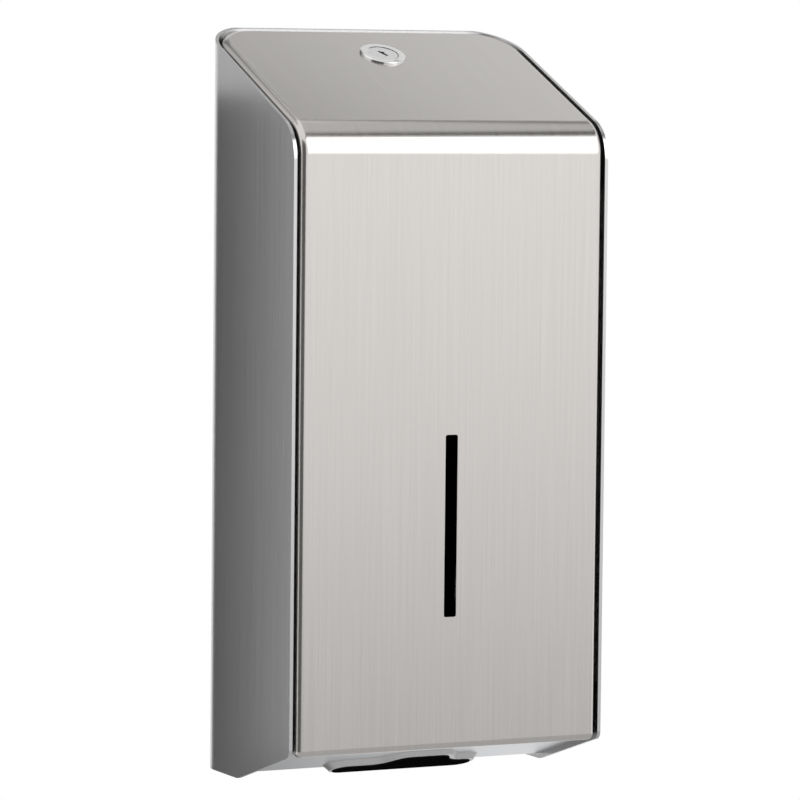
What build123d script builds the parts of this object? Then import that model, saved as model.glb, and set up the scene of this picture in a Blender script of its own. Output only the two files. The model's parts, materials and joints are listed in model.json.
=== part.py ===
from build123d import *
import os
from math import cos, radians, sin, tan

os.makedirs("parts", exist_ok=True)

# Case: a sheet wrapped round the left side, the back and the right side.
# The height is to where the rim's slope would meet the wall; the rear edge is cut level.
case_width = 150.0
case_depth = 100.0
case_height = 326.0
case_sheet = 1.5
rear_bend = 21.0
rim_front_radius = 18.0
rear_trim = 0.3
lid_slope = 23.8

# Underside of the side panels: level behind the lowest line, rising in front.
rising_depth = 54.0
vertex_radius = 7.0
underside_slope = 17.3
front_foot_radius = 4.0

# Cover: one folded tray, front and sloping top.
cover_sheet = 1.2
cover_gap = 1.5
cover_rear_gap = 1.0
cover_proud = 1.0
cover_flange = 11.0
cover_bend = 15.6
cover_edge_bend = 3.0
cover_foot_bend = 3.0
cover_foot_drop = 0.7

# Level slot in the front.
slot_width = 5.8
slot_height = 78.6
slot_foot_rise = 73.6
slot_corner = 0.9

# Bottom plate and its throat, measured along the plate from the lowest line.
plate_sheet = 1.0
plate_recess = 2.4
plate_flange = 8.0
flange_setback = 5.0
plate_hinge_gap = 0.6
throat_start = 2.0
throat_length = 68.0
throat_width = 13.0
notch_centre = 4.0
notch_half_width = 18.0
notch_taper = 7.0
notch_reach = 13.0
notch_top_radius = 7.5
notch_foot_radius = 8.0
lip_flare = 3.0
lip_angle = 42.0
lip_drop = 3.0
lip_drop_front = 1.8
lip_sheet = 0.7
lip_sleeve = 2.0
liner_wall = 0.8
liner_reach = 0.4
fit_clearance = 0.1

# Hinge along the front edge of the bottom plate.
rod_radius = 1.5
knuckle_radius = 2.7
hinge_setback = 7.0
hinge_rise = 2.0
running_clearance = 0.05
knuckle_gap = 0.5
leaf_sheet = 1.0
leaf_height = 14.0
leaf_depth = 8.6
flange_taper = 9.0
foot_flange_height = 3.5
hinge_half_length = 66.0
outer_station = 0.7
inner_station = 0.3
leaf_edge_gap = 1.0
rod_overhang = 1.0
rod_chamfer = 0.3

# Cam lock in the sloping top.
lock_setback = 29.0
bezel_radius = 10.3
bezel_height = 1.0
bezel_edge = 0.5
barrel_radius = 8.5
barrel_flat = 7.6
barrel_length = 20.0
plug_radius = 6.7
plug_recess = 0.2
plug_groove = 0.4
plug_groove_depth = 0.7
plug_tail = 0.3
keyway_turn = 27.0
keyway_length = 5.4
keyway_width = 1.4
keyway_depth = 9.0
ward_size = 1.6
mark_length = 3.0
mark_width = 0.9
mark_radius = 8.5
mark_angle = -70.0
mark_depth = 0.5
washer_rim = 1.0
washer_sheet = 1.0
nut_across_flats = 24.0
nut_thickness = 3.0
cam_sheet = 2.0
cam_reach = 17.0
cam_half_width = 5.0
cam_square = 6.0
cam_play = 0.1
cam_washer_radius = 4.4
cam_washer_sheet = 0.8
cam_screw_radius = 1.5
cam_screw_head = 3.2
cam_screw_head_height = 2.0
cam_screw_length = 7.5

# Keeper on the back panel, above the turned cam.
catch_sheet = 1.5
catch_half_width = 14.0
catch_reach = 10.5
catch_leg = 20.0
catch_clearance = 0.8

# Stop strips and rubber buffers behind the cover flanges.
strip_sheet = 1.0
strip_leg = 9.0
buffer_radius = 3.4
buffer_height = 1.8
buffer_seat_gap = 0.3
buffer_side_gap = 0.4
buffer_inset = 20.0
strip_foot_rise = 40.0
strip_top_drop = 25.0

# Black plastic magazine for the folded tissue.
guide_wall = 2.0
guide_side_gap = 14.5
magazine_floor_rise = 27.0
magazine_top_drop = 62.0
guide_depth = 78.0
guide_foot = 7.0
floor_side_gap = 3.5
chute_clearance = 1.2
chute_lift = 0.2
guide_front_gap = 4.0
back_standoff = 1.5
boss_radius = 5.0
boss_spread = 0.6
driver_room = 4.5
chute_corner = 4.0
screw_radius = 1.5
screw_head_radius = 2.8
screw_head_height = 1.8

# How far a cutting or bounding block runs past the object.
overrun = 20.0
core_overrun = 6.0

# Wall screw holes.
wall_hole_radius = 3.0
wall_spacing_x = 80.0
wall_spacing_z = 180.0

half_width = case_width / 2
top_z = case_height / 2
low_z = -case_height / 2
slope_tan = tan(radians(lid_slope))
slope_cos = cos(radians(lid_slope))
slope_sin = sin(radians(lid_slope))
rise_tan = tan(radians(underside_slope))
rise_cos = cos(radians(underside_slope))
rise_sin = sin(radians(underside_slope))
vertex_depth = case_depth - rising_depth
inner_half = half_width - case_sheet
cover_half = inner_half - cover_gap
cover_front = case_depth + cover_proud
cover_rear = case_sheet + cover_rear_gap


def rim_z(depth):
    # Height of the rim plane at a depth in front of the wall.
    return top_z - depth * slope_tan


def lid_z(depth, inset):
    # Height of the sloping top, a distance inside its outer face.
    return rim_z(depth) + (cover_proud - inset) / slope_cos


def foot_z(depth):
    # Height of the lower edge of a side panel.
    return low_z + max(0.0, depth - vertex_depth) * rise_tan


def plate_bend(lift):
    # Depth at which a layer of the bottom plate turns from level to rising.
    return vertex_depth - (plate_recess + lift) * tan(radians(underside_slope / 2))


def plate_z(depth, lift):
    # Height of the bottom plate, a distance above its lower face.
    if depth <= plate_bend(lift):
        return low_z + plate_recess + lift
    return low_z + (depth - vertex_depth) * rise_tan + (plate_recess + lift) / rise_cos


# Lower face of the cover and the hinge line behind it.
cover_low = foot_z(case_depth) - cover_foot_drop
hinge_depth = case_depth + cover_proud - hinge_setback
hinge_z = cover_low + hinge_rise

# Work planes: on the lid at the lock, and on the lower face of the plate.
lock_plane = Plane(
    origin=(0, -lock_setback, lid_z(lock_setback, 0)),
    x_dir=(1, 0, 0),
    z_dir=(0, -slope_sin, slope_cos),
)
plate_plane = Plane(
    origin=(0, -vertex_depth, low_z + plate_recess / rise_cos),
    x_dir=(1, 0, 0),
    z_dir=(0, -rise_sin, -rise_cos),
)


# Places along the plate, and the plane across it in which the rim is drawn.
throat_front = throat_start + throat_width
notch_front = throat_front + notch_reach
throat_section = Plane(origin=plate_plane.origin, x_dir=plate_plane.y_dir, z_dir=(1, 0, 0))


def rim_drop(place):
    # How far the throat's rim stands below the plate, at a place along it.
    share = (place - throat_start) / (notch_front - throat_start)
    return lip_drop + share * (lip_drop_front - lip_drop)


def plan_outline(half, rear, front, radius):
    # Plan view of a tray or wrap: square front, round rear corners.
    with BuildSketch(Plane.XY.offset(low_z - overrun)) as plan:
        with Locations((0, -rear)):
            Rectangle(2 * half, front - rear, align=(Align.CENTER, Align.MAX))
        fillet(plan.vertices().group_by(Axis.Y)[-1], radius)
    return plan.sketch


def cover_block(inset, past):
    # Solid inside the cover skin; the inset leaves the sheet thickness.
    front = cover_front - inset
    rear = cover_rear + inset
    deep = cover_flange + past
    foot_flange = hinge_depth + knuckle_radius + knuckle_gap
    with BuildPart() as block:
        with BuildSketch(Plane.YZ) as side:
            with BuildLine():
                Polyline(
                    (-front, cover_low + inset),
                    (-front, lid_z(front, inset)),
                    (-rear, lid_z(rear, inset)),
                    (-rear, lid_z(rear, deep)),
                    (-cover_front + deep, lid_z(cover_front - deep, deep)),
                    (-cover_front + deep, hinge_z + flange_taper - past),
                    (-foot_flange + past, hinge_z + foot_flange_height - past),
                    (-foot_flange + past, cover_low + inset),
                    close=True,
                )
            make_face()
            fillet(
                side.vertices().sort_by_distance((-front, lid_z(front, inset), 0))[0],
                cover_bend - inset,
            )
            fillet(
                side.vertices().sort_by_distance((-front, cover_low + inset, 0))[0],
                cover_foot_bend - inset,
            )
        extrude(amount=case_width, both=True)
        add(
            extrude(
                plan_outline(
                    cover_half - inset,
                    rear,
                    cover_front + overrun,
                    rear_bend - case_sheet - cover_gap - inset,
                ),
                amount=case_height + 3 * overrun,
                mode=Mode.PRIVATE,
            ),
            mode=Mode.INTERSECT,
        )
        long_edges = block.edges().filter_by(
            lambda edge: abs(abs(edge.center().X) - (cover_half - inset)) < 0.01
            and edge.center().Z > cover_low + cover_foot_bend
            and (
                edge.center().Y < -front + cover_edge_bend
                or edge.center().Z > lid_z(-edge.center().Y, inset) - cover_edge_bend
            )
        )
        fillet(long_edges, cover_edge_bend - inset)
    return block.part


# Case shell.
with BuildPart() as case_shell:
    with BuildSketch(Plane.XY.offset(low_z)):
        add(plan_outline(half_width, 0, case_depth, rear_bend))
        add(
            plan_outline(
                inner_half, case_sheet, case_depth + overrun, rear_bend - case_sheet
            ),
            mode=Mode.SUBTRACT,
        )
    extrude(amount=case_height)
    with BuildSketch(Plane.YZ) as side_profile:
        with BuildLine():
            Polyline(
                (0, low_z),
                (-vertex_depth, low_z),
                (-case_depth, foot_z(case_depth)),
                (-case_depth, rim_z(case_depth)),
                (-rear_trim / slope_tan, top_z - rear_trim),
                (0, top_z - rear_trim),
                close=True,
            )
        make_face()
        fillet(
            side_profile.vertices().sort_by_distance((-vertex_depth, low_z, 0))[0],
            vertex_radius,
        )
        fillet(
            side_profile.vertices().sort_by_distance(
                (-case_depth, foot_z(case_depth), 0)
            )[0],
            front_foot_radius,
        )
        fillet(
            side_profile.vertices().sort_by_distance(
                (-case_depth, rim_z(case_depth), 0)
            )[0],
            rim_front_radius,
        )
    extrude(amount=case_width, both=True, mode=Mode.INTERSECT)
    # Four wall screw holes.
    with BuildSketch(Plane.XZ):
        with GridLocations(wall_spacing_x, wall_spacing_z, 2, 2):
            Circle(wall_hole_radius)
    extrude(amount=case_sheet * 3, both=True, mode=Mode.SUBTRACT)
case_shell.part.label = "case_shell"
export_step(case_shell.part, "parts/case_shell.step")


def throat_outline(grow):
    # Slot with a finger notch towards the front, in plate coordinates.
    with BuildSketch() as outline:
        with Locations((0, throat_start + throat_width / 2)):
            SlotOverall(throat_length, throat_width)
        with BuildLine():
            Polyline(
                (notch_centre - notch_half_width, throat_front - throat_width / 2),
                (notch_centre - notch_half_width, throat_front),
                (notch_centre - notch_half_width + notch_taper, notch_front),
                (notch_centre + notch_half_width - notch_taper, notch_front),
                (notch_centre + notch_half_width, throat_front),
                (notch_centre + notch_half_width, throat_front - throat_width / 2),
                close=True,
            )
        make_face()
        fillet(outline.vertices().group_by(Axis.Y)[-1], notch_top_radius)
        feet = outline.vertices().filter_by(
            lambda corner: abs(corner.Y - throat_front) < fit_clearance
            and abs(abs(corner.X - notch_centre) - notch_half_width) < fit_clearance
        )
        fillet(feet, notch_foot_radius)
        if grow:
            offset(amount=grow, kind=Kind.ARC)
    return outline.sketch


def rim_block(lower):
    # Everything below the throat's rim, which nears the plate towards the front.
    with BuildPart() as block:
        with BuildSketch(throat_section):
            with BuildLine():
                Polyline(
                    (throat_start - overrun, rim_drop(throat_start - overrun) + lower),
                    (notch_front + overrun, rim_drop(notch_front + overrun) + lower),
                    (notch_front + overrun, overrun),
                    (throat_start - overrun, overrun),
                    close=True,
                )
            make_face()
        extrude(amount=case_width, both=True)
    return block.part


# Bottom plate: level at the rear, rising in front, flanges turned up.
plate_front = hinge_depth - knuckle_radius - plate_hinge_gap
with BuildPart() as bottom_plate:
    with BuildSketch(Plane.YZ) as plate_profile:
        with BuildLine():
            Polyline(
                (-case_sheet, plate_z(0, 0)),
                (-plate_bend(0), plate_z(0, 0)),
                (-plate_front, plate_z(plate_front, 0)),
                (-plate_front, plate_z(plate_front, plate_sheet)),
                (-plate_bend(plate_sheet), plate_z(0, plate_sheet)),
                (-case_sheet - plate_sheet, plate_z(0, plate_sheet)),
                (-case_sheet - plate_sheet, plate_z(0, plate_flange)),
                (-case_sheet, plate_z(0, plate_flange)),
                close=True,
            )
        make_face()
    extrude(amount=inner_half, both=True)
    # Side flanges, stopped short of the cover.
    flange_front = case_depth - cover_flange - flange_setback
    with BuildSketch(Plane.YZ.offset(inner_half - plate_sheet)) as flange_profile:
        with BuildLine():
            Polyline(
                (-rear_bend, plate_z(0, 0)),
                (-plate_bend(0), plate_z(0, 0)),
                (-flange_front, plate_z(flange_front, 0)),
                (-flange_front, plate_z(flange_front, plate_flange)),
                (-plate_bend(plate_flange), plate_z(0, plate_flange)),
                (-rear_bend, plate_z(0, plate_flange)),
                close=True,
            )
        make_face()
    side_flange = extrude(amount=plate_sheet)
    mirror(side_flange, about=Plane.YZ)
    # Round the rear corners to the inside of the wrap.
    add(
        extrude(
            plan_outline(
                inner_half, case_sheet, case_depth + overrun, rear_bend - case_sheet
            ),
            amount=case_height,
            mode=Mode.PRIVATE,
        ),
        mode=Mode.INTERSECT,
    )
    with BuildSketch(plate_plane):
        add(throat_outline(fit_clearance))
    extrude(amount=plate_flange, both=True, mode=Mode.SUBTRACT)
bottom_plate.part.label = "bottom_plate"
export_step(bottom_plate.part, "parts/bottom_plate.step")

# Throat lip: a flared rim below the plate, with a sleeve up through it.
with BuildPart() as throat_lip:
    with BuildSketch(plate_plane):
        add(throat_outline(lip_flare))
    extrude(amount=lip_drop, taper=lip_angle)
    with BuildSketch(plate_plane):
        add(throat_outline(0))
    extrude(amount=-plate_sheet - lip_sleeve)
    with BuildSketch(plate_plane):
        add(throat_outline(-lip_sheet))
    extrude(amount=overrun, both=True, mode=Mode.SUBTRACT)
    add(rim_block(0), mode=Mode.SUBTRACT)
throat_lip.part.label = "throat_lip"
export_step(throat_lip.part, "parts/throat_lip.step")

# Throat liner: a plastic guard inside the lip, just past its rim.
with BuildPart() as throat_liner:
    with BuildSketch(plate_plane.offset(-plate_sheet - lip_sleeve)):
        add(throat_outline(-lip_sheet - fit_clearance))
        add(throat_outline(-lip_sheet - fit_clearance - liner_wall), mode=Mode.SUBTRACT)
    extrude(amount=plate_sheet + lip_sleeve + lip_drop + liner_reach)
    add(rim_block(liner_reach), mode=Mode.SUBTRACT)
throat_liner.part.label = "throat_liner"
export_step(throat_liner.part, "parts/throat_liner.step")

# Cover panel.
cover_skin = cover_block(0, 0)
cover_core = cover_block(cover_sheet, core_overrun)
slot_low = low_z + slot_foot_rise
with BuildPart() as cover_panel:
    add(cover_skin)
    add(cover_core, mode=Mode.SUBTRACT)
    with BuildSketch(Plane.XZ.offset(cover_front)) as level_slot:
        with Locations((0, slot_low + slot_height / 2)):
            RectangleRounded(slot_width, slot_height, slot_corner)
    extrude(amount=-cover_sheet * 3, mode=Mode.SUBTRACT)
    with BuildSketch(lock_plane) as lock_hole:
        Circle(barrel_radius + fit_clearance)
        Rectangle(
            2 * barrel_flat + 2 * fit_clearance, 3 * barrel_radius, mode=Mode.INTERSECT
        )
    extrude(amount=4 * cover_sheet, both=True, mode=Mode.SUBTRACT)
cover_panel.part.label = "cover_panel"
export_step(cover_panel.part, "parts/cover_panel.step")

# Hinge: knuckle stations along the rod, cover and case in turn.
knuckle_outer = hinge_half_length * outer_station
knuckle_inner = hinge_half_length * inner_station
cover_stations = [
    (-hinge_half_length, -knuckle_outer),
    (-knuckle_inner, knuckle_inner),
    (knuckle_outer, hinge_half_length),
]
case_stations = [
    (-knuckle_outer + knuckle_gap, -knuckle_inner - knuckle_gap),
    (knuckle_inner + knuckle_gap, knuckle_outer - knuckle_gap),
]

with BuildPart() as hinge_cover_leaf:
    inner_face = cover_front - cover_sheet
    for start, end in cover_stations:
        with BuildSketch(Plane.YZ.offset(start)):
            with Locations((-hinge_depth, hinge_z)):
                Circle(knuckle_radius)
            with BuildLine():
                Polyline(
                    (-hinge_depth, hinge_z + knuckle_radius),
                    (-inner_face + leaf_sheet, hinge_z + knuckle_radius),
                    (-inner_face + leaf_sheet, hinge_z + leaf_height),
                    (-inner_face, hinge_z + leaf_height),
                    (-inner_face, hinge_z + knuckle_radius - leaf_sheet),
                    (-hinge_depth, hinge_z + knuckle_radius - leaf_sheet),
                    close=True,
                )
            make_face()
        extrude(amount=end - start)
    # One strip joins the stations on the inside of the front panel.
    with BuildSketch(Plane.YZ.offset(-hinge_half_length)):
        with BuildLine():
            Polyline(
                (-inner_face, hinge_z + knuckle_radius + leaf_edge_gap),
                (-inner_face + leaf_sheet, hinge_z + knuckle_radius + leaf_edge_gap),
                (-inner_face + leaf_sheet, hinge_z + leaf_height),
                (-inner_face, hinge_z + leaf_height),
                close=True,
            )
        make_face()
    extrude(amount=2 * hinge_half_length)
    with BuildSketch(Plane.YZ.offset(-hinge_half_length)):
        with Locations((-hinge_depth, hinge_z)):
            Circle(rod_radius + running_clearance)
    extrude(amount=2 * hinge_half_length, mode=Mode.SUBTRACT)
hinge_cover_leaf.part.label = "hinge_cover_leaf"
export_step(hinge_cover_leaf.part, "parts/hinge_cover_leaf.step")

leaf_rear = hinge_depth - leaf_depth
with BuildPart() as hinge_case_leaf:
    for start, end in case_stations:
        with BuildSketch(Plane.YZ.offset(start)):
            with Locations((-hinge_depth, hinge_z)):
                Circle(knuckle_radius)
            with BuildLine():
                Polyline(
                    (-hinge_depth, plate_z(hinge_depth, plate_sheet)),
                    (-leaf_rear, plate_z(leaf_rear, plate_sheet)),
                    (-leaf_rear, plate_z(leaf_rear, plate_sheet + leaf_sheet)),
                    (-hinge_depth, plate_z(hinge_depth, plate_sheet + leaf_sheet)),
                    close=True,
                )
            make_face()
        extrude(amount=end - start)
    strip_front = plate_front - leaf_edge_gap
    with BuildSketch(Plane.YZ.offset(-hinge_half_length)):
        with BuildLine():
            Polyline(
                (-strip_front, plate_z(strip_front, plate_sheet)),
                (-leaf_rear, plate_z(leaf_rear, plate_sheet)),
                (-leaf_rear, plate_z(leaf_rear, plate_sheet + leaf_sheet)),
                (-strip_front, plate_z(strip_front, plate_sheet + leaf_sheet)),
                close=True,
            )
        make_face()
    extrude(amount=2 * hinge_half_length)
    with BuildSketch(Plane.YZ.offset(-hinge_half_length)):
        with Locations((-hinge_depth, hinge_z)):
            Circle(rod_radius + running_clearance / 2)
    extrude(amount=2 * hinge_half_length, mode=Mode.SUBTRACT)
hinge_case_leaf.part.label = "hinge_case_leaf"
export_step(hinge_case_leaf.part, "parts/hinge_case_leaf.step")

with BuildPart() as hinge_rod:
    with BuildSketch(Plane.YZ.offset(-hinge_half_length - rod_overhang)):
        with Locations((-hinge_depth, hinge_z)):
            Circle(rod_radius)
    extrude(amount=2 * (hinge_half_length + rod_overhang))
    chamfer(hinge_rod.edges().filter_by(GeomType.CIRCLE), rod_chamfer)
hinge_rod.part.label = "hinge_rod"
export_step(hinge_rod.part, "parts/hinge_rod.step")

# Cam lock, built along the lid normal.
with BuildPart() as lock_housing:
    with BuildSketch(lock_plane):
        Circle(bezel_radius)
    extrude(amount=bezel_height)
    top_edge = lock_housing.edges().filter_by(GeomType.CIRCLE).sort_by(Axis.Z)[-1]
    fillet(top_edge, bezel_edge)
    with BuildSketch(lock_plane):
        Circle(barrel_radius)
        Rectangle(2 * barrel_flat, 3 * barrel_radius, mode=Mode.INTERSECT)
    extrude(amount=-barrel_length)
    # Bore for the plug, with a fine groove round its face.
    with BuildSketch(lock_plane.offset(bezel_height)):
        Circle(plug_radius + running_clearance)
    extrude(amount=-bezel_height - barrel_length, mode=Mode.SUBTRACT)
    with BuildSketch(lock_plane.offset(bezel_height)):
        Circle(plug_radius + plug_groove)
    extrude(amount=-plug_groove_depth, mode=Mode.SUBTRACT)
    # A short mark in the bezel shows where the key is drawn out.
    with BuildSketch(lock_plane.offset(bezel_height)):
        with PolarLocations(mark_radius, 1, mark_angle):
            SlotOverall(mark_length, mark_width, rotation=90)
    extrude(amount=-mark_depth, mode=Mode.SUBTRACT)
lock_housing.part.label = "lock_housing"
export_step(lock_housing.part, "parts/lock_housing.step")

with BuildPart() as lock_washer:
    with BuildSketch(lock_plane.offset(-cover_sheet)):
        Circle(nut_across_flats / 2 + washer_rim)
        Circle(barrel_radius + fit_clearance, mode=Mode.SUBTRACT)
    extrude(amount=-washer_sheet)
lock_washer.part.label = "lock_washer"
export_step(lock_washer.part, "parts/lock_washer.step")

with BuildPart() as lock_nut:
    with BuildSketch(lock_plane.offset(-cover_sheet - washer_sheet)):
        RegularPolygon(nut_across_flats / 2, 6, major_radius=False)
        Circle(barrel_radius + fit_clearance, mode=Mode.SUBTRACT)
    extrude(amount=-nut_thickness)
lock_nut.part.label = "lock_nut"
export_step(lock_nut.part, "parts/lock_nut.step")

plug_top = bezel_height - plug_recess
cam_level = -barrel_length - plug_tail
shank_end = cam_level - cam_sheet - 2 * cam_play
with BuildPart() as lock_plug:
    with BuildSketch(lock_plane.offset(plug_top)):
        Circle(plug_radius)
    extrude(amount=cam_level - plug_top)
    with BuildSketch(lock_plane.offset(cam_level)):
        Rectangle(cam_square, cam_square)
    extrude(amount=shank_end - cam_level)
    # Keyway with a small cross ward.
    with BuildSketch(lock_plane.offset(plug_top)):
        with Locations(Location((0, 0, 0), (0, 0, keyway_turn))):
            Rectangle(keyway_width, keyway_length)
            with Locations((ward_size / 2, ward_size / 2)):
                Rectangle(ward_size, keyway_width)
    extrude(amount=-keyway_depth, mode=Mode.SUBTRACT)
    # Hole for the cam screw.
    with BuildSketch(lock_plane.offset(shank_end)):
        Circle(cam_screw_radius + fit_clearance)
    extrude(amount=cam_screw_length + fit_clearance, mode=Mode.SUBTRACT)
lock_plug.part.label = "lock_plug"
export_step(lock_plug.part, "parts/lock_plug.step")

with BuildPart() as lock_cam:
    with BuildSketch(lock_plane.offset(cam_level)):
        with Locations(((cam_reach - cam_half_width) / 2, 0)):
            SlotOverall(cam_reach + cam_half_width, 2 * cam_half_width)
        Rectangle(cam_square + cam_play, cam_square + cam_play, mode=Mode.SUBTRACT)
    extrude(amount=-cam_sheet)
lock_cam.part.label = "lock_cam"
export_step(lock_cam.part, "parts/lock_cam.step")

with BuildPart() as cam_washer:
    with BuildSketch(lock_plane.offset(shank_end)):
        Circle(cam_washer_radius)
        Circle(cam_screw_radius + 2 * fit_clearance, mode=Mode.SUBTRACT)
    extrude(amount=-cam_washer_sheet)
cam_washer.part.label = "cam_washer"
export_step(cam_washer.part, "parts/cam_washer.step")

screw_seat = shank_end - cam_washer_sheet
with BuildPart() as cam_screw:
    with BuildSketch(lock_plane.offset(screw_seat)):
        Circle(cam_screw_head)
    extrude(amount=-cam_screw_head_height)
    head_edge = cam_screw.edges().filter_by(GeomType.CIRCLE).sort_by(Axis.Z)[0]
    fillet(head_edge, cam_screw_head_height / 3)
    with BuildSketch(lock_plane.offset(screw_seat)):
        Circle(cam_screw_radius)
    extrude(amount=cam_screw_length)
cam_screw.part.label = "cam_screw"
export_step(cam_screw.part, "parts/cam_screw.step")

# Keeper: leg on the back panel, lip parallel to the lid over the cam.
catch_under = barrel_length + plug_tail - catch_clearance
catch_over = catch_under - catch_sheet
catch_front = case_sheet + catch_reach
with BuildPart() as catch_bracket:
    with BuildSketch(Plane.YZ) as catch_profile:
        with BuildLine():
            Polyline(
                (-case_sheet, lid_z(case_sheet, catch_over)),
                (-catch_front, lid_z(catch_front, catch_over)),
                (-catch_front, lid_z(catch_front, catch_under)),
                (-case_sheet - catch_sheet, lid_z(case_sheet + catch_sheet, catch_under)),
                (-case_sheet - catch_sheet, lid_z(0, catch_under) - catch_leg),
                (-case_sheet, lid_z(0, catch_under) - catch_leg),
                close=True,
            )
        make_face()
    extrude(amount=catch_half_width, both=True)
catch_bracket.part.label = "catch_bracket"
export_step(catch_bracket.part, "parts/catch_bracket.step")

# Stop strips inside the side panels, behind the cover flanges.
strip_face = cover_front - cover_flange - buffer_seat_gap - buffer_height
strip_low = low_z + strip_foot_rise
strip_high = rim_z(case_depth) - strip_top_drop


def stop_strip(side):
    with BuildPart() as strip:
        with BuildSketch(Plane.XY.offset(strip_low)):
            with BuildLine():
                Polyline(
                    (side * inner_half, -strip_face),
                    (side * (inner_half - strip_leg), -strip_face),
                    (side * (inner_half - strip_leg), -strip_face + strip_sheet),
                    (side * (inner_half - strip_sheet), -strip_face + strip_sheet),
                    (side * (inner_half - strip_sheet), -strip_face + strip_leg),
                    (side * inner_half, -strip_face + strip_leg),
                    close=True,
                )
            make_face()
        extrude(amount=strip_high - strip_low)
    return strip


stop_strip_left = stop_strip(-1)
stop_strip_left.part.label = "stop_strip_left"
export_step(stop_strip_left.part, "parts/stop_strip_left.step")

stop_strip_right = stop_strip(1)
stop_strip_right.part.label = "stop_strip_right"
export_step(stop_strip_right.part, "parts/stop_strip_right.step")

with BuildPart() as cover_buffers:
    with BuildSketch(Plane.XZ.offset(strip_face)):
        for side in (-1, 1):
            for height in (strip_low + buffer_inset, strip_high - buffer_inset):
                with Locations((side * (inner_half - buffer_radius - buffer_side_gap), height)):
                    Circle(buffer_radius)
    extrude(amount=buffer_height)
cover_buffers.part.label = "cover_buffers"
export_step(cover_buffers.part, "parts/cover_buffers.step")

# Magazine: back, floor and two side guides.
pack_half_width = inner_half - guide_side_gap
magazine_low = low_z + magazine_floor_rise
magazine_high = top_z - magazine_top_drop
magazine_rear = case_sheet + back_standoff
screw_x = pack_half_width - guide_foot / 2
screw_spots = [
    (side * screw_x, (magazine_low + magazine_high) / 2 + lift)
    for side in (-1, 1)
    for lift in (-wall_spacing_z / 3, wall_spacing_z / 3)
]
with BuildPart() as magazine_back:
    with BuildSketch(Plane.XZ.offset(magazine_rear)):
        with Locations((0, (magazine_low + magazine_high) / 2)):
            Rectangle(
                2 * (pack_half_width + guide_wall), magazine_high - magazine_low
            )
        with GridLocations(wall_spacing_x, wall_spacing_z, 2, 2):
            Circle(wall_hole_radius + driver_room, mode=Mode.SUBTRACT)
        with Locations(*screw_spots):
            Circle(screw_radius + fit_clearance / 2, mode=Mode.SUBTRACT)
    extrude(amount=guide_wall)
    # Spacer bosses stand the plate off the back panel.
    with BuildSketch(Plane.XZ.offset(case_sheet)):
        with GridLocations(pack_half_width, wall_spacing_z * boss_spread, 2, 2):
            Circle(boss_radius)
    extrude(amount=magazine_rear - case_sheet)
magazine_back.part.label = "magazine_back"
export_step(magazine_back.part, "parts/magazine_back.step")

floor_front = magazine_rear + guide_depth + guide_front_gap
throat_reach = throat_width + notch_reach
throat_mid_depth = vertex_depth + (throat_start + throat_reach / 2) * rise_cos
chute_half_depth = throat_reach / 2 * rise_cos + chute_clearance
chute_half_length = throat_length / 2 + chute_clearance
with BuildPart() as magazine_floor:
    with BuildSketch(Plane.XY.offset(magazine_low)):
        add(
            plan_outline(
                inner_half - floor_side_gap,
                magazine_rear,
                floor_front,
                rear_bend - case_sheet,
            )
        )
    extrude(amount=-guide_wall)
    # Chute collar down to the bottom plate.
    with BuildSketch(Plane.XY.offset(magazine_low)):
        with Locations((0, -throat_mid_depth)):
            RectangleRounded(
                2 * (chute_half_length + guide_wall),
                2 * (chute_half_depth + guide_wall),
                chute_corner + guide_wall,
            )
    extrude(amount=-magazine_floor_rise + plate_recess + plate_sheet)
    with BuildSketch(Plane.XY.offset(magazine_low)):
        with Locations((0, -throat_mid_depth)):
            RectangleRounded(2 * chute_half_length, 2 * chute_half_depth, chute_corner)
    extrude(amount=-magazine_floor_rise, mode=Mode.SUBTRACT)
    # The collar ends on the rising plate.
    with BuildSketch(Plane.YZ):
        with BuildLine():
            Polyline(
                (0, low_z - overrun),
                (0, plate_z(0, plate_sheet + chute_lift)),
                (-plate_bend(plate_sheet + chute_lift), plate_z(0, plate_sheet + chute_lift)),
                (-case_depth, plate_z(case_depth, plate_sheet + chute_lift)),
                (-case_depth, low_z - overrun),
                close=True,
            )
        make_face()
    extrude(amount=case_width, both=True, mode=Mode.SUBTRACT)
magazine_floor.part.label = "magazine_floor"
export_step(magazine_floor.part, "parts/magazine_floor.step")


foot_rear = magazine_rear + guide_wall


def side_guide(side):
    with BuildPart() as guide:
        with BuildSketch(Plane.XY.offset(magazine_low)):
            with BuildLine():
                Polyline(
                    (side * pack_half_width, -foot_rear - guide_depth),
                    (side * (pack_half_width + guide_wall), -foot_rear - guide_depth),
                    (side * (pack_half_width + guide_wall), -foot_rear),
                    (side * (pack_half_width - guide_foot), -foot_rear),
                    (side * (pack_half_width - guide_foot), -foot_rear - guide_wall),
                    (side * pack_half_width, -foot_rear - guide_wall),
                    close=True,
                )
            make_face()
        extrude(amount=magazine_high - magazine_low)
        with BuildSketch(Plane.XZ.offset(foot_rear)):
            with Locations(*screw_spots):
                Circle(screw_radius + fit_clearance)
        extrude(amount=guide_wall, mode=Mode.SUBTRACT)
    return guide


side_guide_left = side_guide(-1)
side_guide_left.part.label = "side_guide_left"
export_step(side_guide_left.part, "parts/side_guide_left.step")

side_guide_right = side_guide(1)
side_guide_right.part.label = "side_guide_right"
export_step(side_guide_right.part, "parts/side_guide_right.step")

# Screws that hold the side guides to the magazine back.
with BuildPart() as guide_screws:
    with BuildSketch(Plane.XZ.offset(foot_rear + guide_wall)):
        with Locations(*screw_spots):
            Circle(screw_head_radius)
    extrude(amount=screw_head_height)
    with BuildSketch(Plane.XZ.offset(foot_rear + guide_wall)):
        with Locations(*screw_spots):
            Circle(screw_radius)
    extrude(amount=-2 * guide_wall)
guide_screws.part.label = "guide_screws"
export_step(guide_screws.part, "parts/guide_screws.step")
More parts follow.
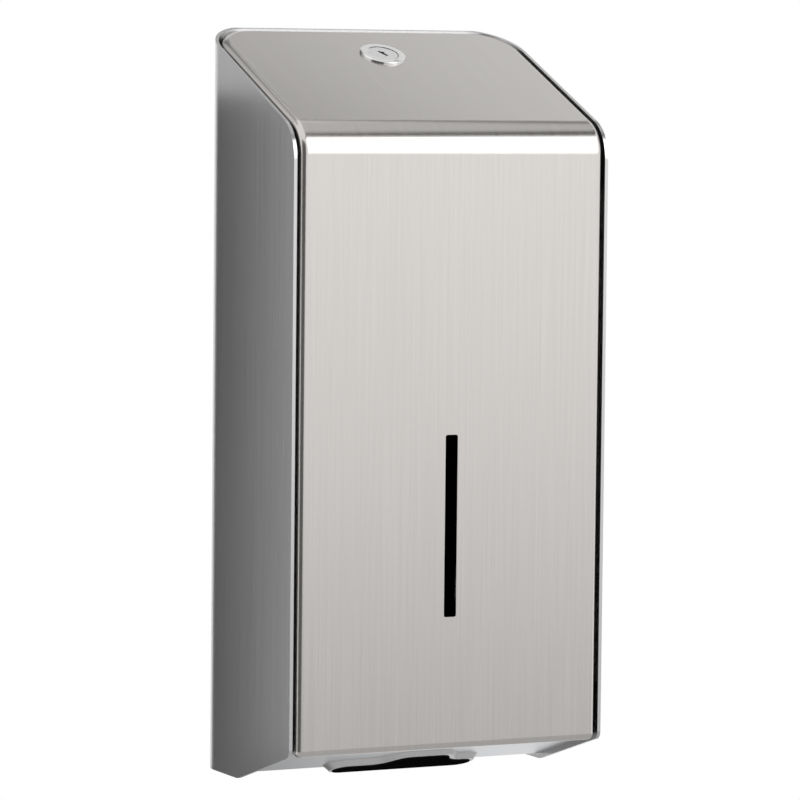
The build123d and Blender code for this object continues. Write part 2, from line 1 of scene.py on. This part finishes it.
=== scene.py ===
import json
from math import cos, radians, sin

import bpy
from mathutils import Matrix, Vector


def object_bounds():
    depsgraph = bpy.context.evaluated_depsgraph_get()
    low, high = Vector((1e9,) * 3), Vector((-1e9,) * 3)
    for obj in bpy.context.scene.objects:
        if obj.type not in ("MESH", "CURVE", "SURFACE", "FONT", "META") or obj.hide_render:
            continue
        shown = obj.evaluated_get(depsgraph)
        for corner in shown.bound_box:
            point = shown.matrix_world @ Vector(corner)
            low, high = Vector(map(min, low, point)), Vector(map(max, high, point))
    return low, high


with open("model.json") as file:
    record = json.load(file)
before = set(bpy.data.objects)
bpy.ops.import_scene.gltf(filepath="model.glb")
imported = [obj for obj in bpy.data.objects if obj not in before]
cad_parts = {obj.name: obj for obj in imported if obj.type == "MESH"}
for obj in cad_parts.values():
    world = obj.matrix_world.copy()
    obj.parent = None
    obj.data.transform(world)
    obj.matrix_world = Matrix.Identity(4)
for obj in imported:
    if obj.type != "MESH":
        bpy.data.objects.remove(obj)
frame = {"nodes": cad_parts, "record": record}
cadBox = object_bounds()
nodes = frame["nodes"]
print("frame loaded")


class Wire:
    # one output of a node, so that shader sums are written as Python
    def __init__(self, finish, socket):
        self.finish, self.socket = finish, socket

    def maths(self, operation, first, second):
        return self.finish.node("Math", {"operation": operation}, {0: first, 1: second})

    def __add__(self, other):
        return self.maths("ADD", self, other)

    def __radd__(self, other):
        return self.maths("ADD", other, self)

    def __sub__(self, other):
        return self.maths("SUBTRACT", self, other)

    def __rsub__(self, other):
        return self.maths("SUBTRACT", other, self)

    def __mul__(self, other):
        return self.maths("MULTIPLY", self, other)

    def __rmul__(self, other):
        return self.maths("MULTIPLY", other, self)


class Finish:
    # the nodes of one material, or of the world
    def __init__(self, owner):
        self.owner = owner
        owner.use_nodes = True
        self.tree = owner.node_tree
        self.tree.nodes.clear()

    def node(self, kind, settings=None, sockets=None, output=0):
        # settings go first, because some of them change which sockets there are
        made = self.tree.nodes.new("ShaderNode" + kind)
        for key, value in (settings or {}).items():
            if key == "stops":
                ramp = made.color_ramp
                while len(ramp.elements) < len(value):
                    ramp.elements.new(0.5)  # anywhere, as its place is set below
                for element, (place, colour) in zip(ramp.elements, value):
                    element.position, element.color = place, colour
            else:
                setattr(made, key, value)
        for key, value in (sockets or {}).items():
            if isinstance(value, Wire):
                self.tree.links.new(value.socket, made.inputs[key])
            else:
                made.inputs[key].default_value = value
        if made.outputs:  # the closing node has none
            return Wire(self, made.outputs[output])

    def noise(self, scale, detail, roughness=0.5, stretch=(1, 1, 1)):
        place = self.node("TexCoord", output="Object")
        place = self.node("Mapping", None, {"Vector": place, "Scale": stretch})
        sockets = {"Vector": place, "Scale": scale, "Detail": detail, "Roughness": roughness}
        return self.node("TexNoise", None, sockets)

    def darkToLight(self, factor, spec):
        sockets = {"Factor": factor, "A": (*spec["dark"], 1), "B": (*spec["light"], 1)}
        return self.node("Mix", {"data_type": "RGBA"}, sockets, output="Result")

    def bump(self, strength, depth, height):
        return self.node("Bump", None, {"Strength": strength, "Distance": depth, "Height": height})

    def seen(self):
        # 1 when looked at, also in a reflection or through a clear piece, and 0 as a light
        camera = self.node("LightPath", output="Is Camera Ray")
        glossy = self.node("LightPath", output="Is Glossy Ray")
        through = self.node("LightPath", output="Is Transmission Ray")
        return camera + glossy + through

    def close(self, shader, end="OutputMaterial"):
        self.node(end, None, {"Surface": shader})
        return self.owner


noiseMiddle = 0.5  # noise runs from 0 to 1 around it

# what the brushed steels share: depth is in metres, gloss is how far roughness wanders
brushing = {
    "grainDetail": 2.0, "grainHarshness": 0.6, "grainDepth": 0.0002, "grainGloss": 0.05,
    "smearScale": 9.0, "smearDetail": 3.0, "smearGloss": 0.03,
}


def brushedSteel(name, spec):
    # satin steel: hair-fine grain, broad smears and a soft sheen
    finish = Finish(bpy.data.materials.new(name))
    grain = finish.noise(
        spec["grain"], brushing["grainDetail"], brushing["grainHarshness"], spec["stretch"]
    )
    smear = finish.noise(brushing["smearScale"], brushing["smearDetail"])
    grainRough = (grain - noiseMiddle) * brushing["grainGloss"]
    smearRough = (smear - noiseMiddle) * brushing["smearGloss"]
    shader = finish.node("BsdfPrincipled", None, {
        "Base Color": finish.darkToLight(grain * spec["contrast"] + smear * spec["smear"], spec),
        "Metallic": spec["metallic"],
        "Roughness": spec["rough"] + grainRough + smearRough,
        "Normal": finish.bump(spec["bump"], brushing["grainDepth"], grain),
    })
    return finish.close(shader)


# what the plain finishes share, with the shine of those that name none
surface = {
    "speckDetail": 2.0, "speckShare": 0.5, "speckDepth": 0.0001,
    "cloudScale": 20.0, "cloudDetail": 2.0, "cloudShare": 0.5, "cloudGloss": 0.1,
    "shine": 0.5,
}


def plainFinish(name, spec):
    # plated metal, rubber or moulded plastic with a fine surface
    finish = Finish(bpy.data.materials.new(name))
    speck = finish.noise(spec["grain"], surface["speckDetail"])
    cloud = finish.noise(surface["cloudScale"], surface["cloudDetail"])
    tone = speck * surface["speckShare"] + cloud * surface["cloudShare"]
    shader = finish.node("BsdfPrincipled", None, {
        "Base Color": finish.darkToLight(tone, spec),
        "Metallic": spec["metallic"],
        "Roughness": spec["rough"] + (cloud - noiseMiddle) * surface["cloudGloss"],
        "Specular IOR Level": spec.get("shine", surface["shine"]),
        "Normal": finish.bump(spec["bump"], surface["speckDepth"], speck),
    })
    return finish.close(shader)


# grain is the noise's scale per metre, and a small stretch draws it out along that axis
steels = {
    "coverSteel": {
        "dark": (0.61, 0.588, 0.568), "light": (0.72, 0.695, 0.673),
        "metallic": 1.0, "rough": 0.23, "grain": 1100.0, "stretch": (1, 0.01, 0.01),
        "contrast": 0.8, "smear": 0.2, "bump": 0.035,
    },
    "caseSteel": {
        "dark": (0.59, 0.59, 0.592), "light": (0.72, 0.72, 0.72),
        "metallic": 1.0, "rough": 0.26, "grain": 1100.0, "stretch": (1, 1, 0.01),
        "contrast": 0.75, "smear": 0.25, "bump": 0.08,
    },
    "plateSteel": {
        "dark": (0.62, 0.63, 0.645), "light": (0.74, 0.75, 0.765),
        "metallic": 1.0, "rough": 0.3, "grain": 1100.0, "stretch": (1, 0.03, 0.03),
        "contrast": 0.75, "smear": 0.25, "bump": 0.08,
    },
}
plains = {
    "lipSteel": {
        "dark": (0.62, 0.62, 0.62), "light": (0.76, 0.76, 0.75),
        "metallic": 1.0, "rough": 0.42, "grain": 700.0, "bump": 0.05,
    },
    "zincPlate": {
        "dark": (0.48, 0.49, 0.5), "light": (0.62, 0.62, 0.6),
        "metallic": 1.0, "rough": 0.4, "grain": 500.0, "bump": 0.08,
    },
    "hingeSteel": {
        "dark": (0.5, 0.5, 0.5), "light": (0.66, 0.66, 0.65),
        "metallic": 1.0, "rough": 0.35, "grain": 600.0, "bump": 0.06,
    },
    "screwSteel": {
        "dark": (0.45, 0.45, 0.46), "light": (0.6, 0.6, 0.6),
        "metallic": 1.0, "rough": 0.3, "grain": 800.0, "bump": 0.05,
    },
    "blackRubber": {
        "dark": (0.012, 0.012, 0.012), "light": (0.03, 0.03, 0.03),
        "metallic": 0.0, "rough": 0.75, "grain": 900.0, "bump": 0.3, "shine": 0.2,
    },
    # the paper guide inside the throat: black plastic, made darker than real plastic and given no
    # shine at all as painted shade, so the deep inside of the throat renders black
    "blackPlasticPaintedShade": {
        "dark": (0.006, 0.006, 0.006), "light": (0.013, 0.013, 0.013),
        "metallic": 0.0, "rough": 0.6, "grain": 1200.0, "bump": 0.2, "shine": 0.0,
    },
    "lockChrome": {
        "dark": (0.82, 0.82, 0.82), "light": (0.9, 0.9, 0.89),
        "metallic": 1.0, "rough": 0.16, "grain": 900.0, "bump": 0.04,
    },
    "plugChrome": {
        "dark": (0.8, 0.8, 0.8), "light": (0.88, 0.88, 0.87),
        "metallic": 1.0, "rough": 0.2, "grain": 900.0, "bump": 0.05,
    },
    "nutBrass": {
        "dark": (0.55, 0.42, 0.2), "light": (0.74, 0.6, 0.32),
        "metallic": 1.0, "rough": 0.32, "grain": 600.0, "bump": 0.05,
    },
}
finishes = {name: brushedSteel(name, spec) for name, spec in steels.items()}
finishes.update({name: plainFinish(name, spec) for name, spec in plains.items()})
slotFinish = {
    "case_steel": "caseSteel", "cover_steel": "coverSteel", "plate_steel": "plateSteel",
    "lip_steel": "lipSteel", "zinc_steel": "zincPlate", "hinge_steel": "hingeSteel",
    "screw_steel": "screwSteel", "buffer_rubber": "blackRubber", "black_plastic": "blackPlasticPaintedShade",
    "lock_chrome": "lockChrome", "plug_chrome": "plugChrome", "lock_brass": "nutBrass",
}
for entry in frame["record"]["subparts"]:
    node = nodes[entry["node"]]
    node.data.materials.clear()
    node.data.materials.append(finishes[slotFinish[entry["material_slot"]]])
print("finishes on", len(nodes), "nodes")


# Camera at the photograph's angle, fitted to the object's straight edges. Angles are in
# degrees, focal and frame in pixels, sensor in mm, and aim is a point level with the camera
camera = {
    "yaw": 26.05, "pitch": -4.2675, "roll": 0.593, "focal": 4473.1, "frame": 800,
    "sensor": 36.0, "distance": 1.9567, "aim": (0, -0.05, 0.1465),
}


def placeCamera(spec):
    data = bpy.data.cameras.new("camera")
    data.sensor_width = spec["sensor"]
    data.lens = spec["focal"] / spec["frame"] * data.sensor_width
    eye = bpy.data.objects.new("camera", data)
    bpy.context.scene.collection.objects.link(eye)
    yaw, pitch, roll = (radians(spec[angle]) for angle in ("yaw", "pitch", "roll"))
    level = Vector((sin(yaw), cos(yaw), 0))
    forward = Vector((sin(yaw) * cos(pitch), cos(yaw) * cos(pitch), sin(pitch)))
    right = Vector((cos(yaw), -sin(yaw), 0))
    up = right.cross(forward)
    across = right * cos(roll) + up * sin(roll)
    above = up * cos(roll) - right * sin(roll)
    spot = Vector(spec["aim"]) - level * spec["distance"]
    turn = Matrix((across, above, -forward)).transposed().to_4x4()
    eye.matrix_world = Matrix.Translation(spot) @ turn
    bpy.context.scene.camera = eye


placeCamera(camera)
print("camera placed")

# Light: white surroundings, one soft box, and cards that only reflections see.
# diffuse is the surroundings' strength as light, against 1 where they are seen
studio = {
    "floorDrop": 2.0, "floorSize": 30.0, "paper": 0.8, "diffuse": 0.55,
    "box": {"azimuth": 33.0, "elevation": 30.0, "away": 1.6, "size": 0.95, "power": 6.5},
}
caseMiddle = Vector((0, -0.05, 0))  # the box and the aimed cards face it
white = (1, 1, 1, 1)

# azimuth is measured from the object's front, positive to its right in the photograph.
# stops give the card's brightness along its own X, which is across, or Y, which is up
aimedCards = {
    "frontCard": {
        "azimuth": 26.0, "elevation": -16.0, "away": 2.6, "across": 4.2, "up": 1.5,
        "along": "Y", "stops": ((0.0, 0.05), (0.5, 0.4), (0.85, 0.96), (1.0, 1.05)),
    },
    "cameraCard": {
        "azimuth": -42.0, "elevation": 4.0, "away": 1.3, "across": 1.45, "up": 1.6,
        "along": "X", "stops": ((0.0, 0.1), (1.0, 0.14)),
    },
    "slopeCard": {
        "azimuth": 144.0, "elevation": 38.0, "away": 1.5, "across": 1.5, "up": 0.9,
        "along": "X", "stops": ((0.0, 0.8), (0.4, 0.76), (1.0, 0.96)),
    },
    "overCard": {
        "azimuth": 80.0, "elevation": 68.0, "away": 1.5, "across": 1.3, "up": 0.7,
        "along": "X", "stops": ((0.0, 0.62), (1.0, 0.62)),
    },
    "frontStrip": {
        "azimuth": 46.0, "elevation": 55.2, "away": 1.2, "across": 1.5, "up": 0.22,
        "along": "X", "stops": ((0.0, 0.0), (1.0, 0.0)),
    },
    "rearStrip": {
        "azimuth": 139.0, "elevation": 54.0, "away": 1.2, "across": 1.1, "up": 0.14,
        "along": "X", "stops": ((0.0, 0.0), (1.0, 0.0)),
    },
    "rimCard": {
        "azimuth": -156.0, "elevation": 44.0, "away": 1.2, "across": 0.9, "up": 0.95,
        "along": "X", "stops": ((0.0, 0.12), (1.0, 0.2)),
    },
    "backCard": {
        "azimuth": 125.0, "elevation": 13.0, "away": 1.2, "across": 1.3, "up": 0.6,
        "along": "X", "stops": ((0.0, 0.04), (1.0, 0.04)),
    },
}
# these lie level or stand upright at a place of their own: lean is in degrees about X
fixedCards = {
    "lowCard": {
        "place": (0.3, -0.5, -0.5), "lean": 0, "across": 1.8, "up": 1.9,
        "along": "X", "stops": ((0.0, 0.5), (1.0, 0.5)),
    },
    "sideCard": {
        "place": (-0.3, 0.08, -0.147), "lean": 90, "across": 0.42, "up": 0.56,
        "along": "X", "stops": ((0.0, 1.05), (0.58, 0.92), (0.93, 0.07)),
    },
    "shoulderCard": {
        "place": (-0.3, 0.08, 0.293), "lean": 90, "across": 0.42, "up": 0.32,
        "along": "X", "stops": ((0.0, 1.0), (0.6, 0.9), (0.95, 0.5)),
    },
    "underCard": {
        "place": (-0.05, 0.08, -0.36), "lean": 90, "across": 0.4, "up": 0.36,
        "along": "X", "stops": ((0.0, 0.12), (0.5, 0.16), (1.0, 1.0)),
    },
}


def placeWorld(spec):
    world = Finish(bpy.data.worlds.new("studio"))
    strength = world.seen() * (1 - spec["diffuse"]) + spec["diffuse"]
    back = world.node("Background", None, {"Color": white, "Strength": strength})
    bpy.context.scene.world = world.close(back, "OutputWorld")


def addPlane(name, size, location=(0, 0, 0)):
    bpy.ops.object.select_all(action="DESELECT")
    bpy.ops.mesh.primitive_plane_add(size=size, location=location)
    plane = bpy.context.object
    plane.name = name
    return plane


def grey(value):
    return (value, value, value, 1)


def placeFloor(spec):
    # white where it is seen, and paper where light falls on it
    floor = addPlane("floor", spec["floorSize"], (0, 0, cadBox[0].z - spec["floorDrop"]))
    finish = Finish(bpy.data.materials.new("floorPaper"))
    paper = finish.node("BsdfDiffuse", None, {"Color": grey(spec["paper"])})
    glow = finish.node("Emission", None, {"Color": white})
    shader = finish.node("MixShader", None, {0: finish.seen(), 1: paper, 2: glow})
    floor.data.materials.append(finish.close(shader))


def spotAt(spec):
    turn, rise = radians(spec["azimuth"]), radians(spec["elevation"])
    way = Vector((sin(turn) * cos(rise), -cos(turn) * cos(rise), sin(rise)))
    return way * spec["away"] + caseMiddle, way


def placeLamp(name, spec):
    data = bpy.data.lights.new(name, "AREA")
    data.shape, data.size, data.energy = "SQUARE", spec["size"], spec["power"]
    lamp = bpy.data.objects.new(name, data)
    bpy.context.scene.collection.objects.link(lamp)
    lamp.location, way = spotAt(spec)
    lamp.rotation_euler = (-way).to_track_quat("-Z", "Y").to_euler()


def placeCard(name, spec):
    cardSide = 1.0  # before it is scaled, and so in the card's own coordinates
    card = addPlane(name, cardSide)
    card.scale = (spec["across"], spec["up"], 1)
    if "place" in spec:
        card.location = spec["place"]
        card.rotation_euler = (radians(spec["lean"]), 0, 0)
    else:
        card.location, way = spotAt(spec)
        card.rotation_euler = way.to_track_quat("-Z", "Y").to_euler()
    finish = Finish(bpy.data.materials.new(name))
    place = finish.node("TexCoord", output="Object")
    fromMiddle = finish.node("SeparateXYZ", None, {"Vector": place}, output=spec["along"])
    stops = [(at, grey(value)) for at, value in spec["stops"]]
    shade = finish.node("ValToRGB", {"stops": stops}, {"Fac": fromMiddle + cardSide / 2})
    card.data.materials.append(finish.close(finish.node("Emission", None, {"Color": shade})))
    for ray in ("camera", "diffuse", "shadow", "transmission", "volume_scatter"):
        setattr(card, "visible_" + ray, False)


placeWorld(studio)
placeFloor(studio)
placeLamp("softBox", studio["box"])
for name, spec in (aimedCards | fixedCards).items():
    placeCard(name, spec)
bpy.context.scene.view_settings.view_transform = "Standard"
print("studio lit")
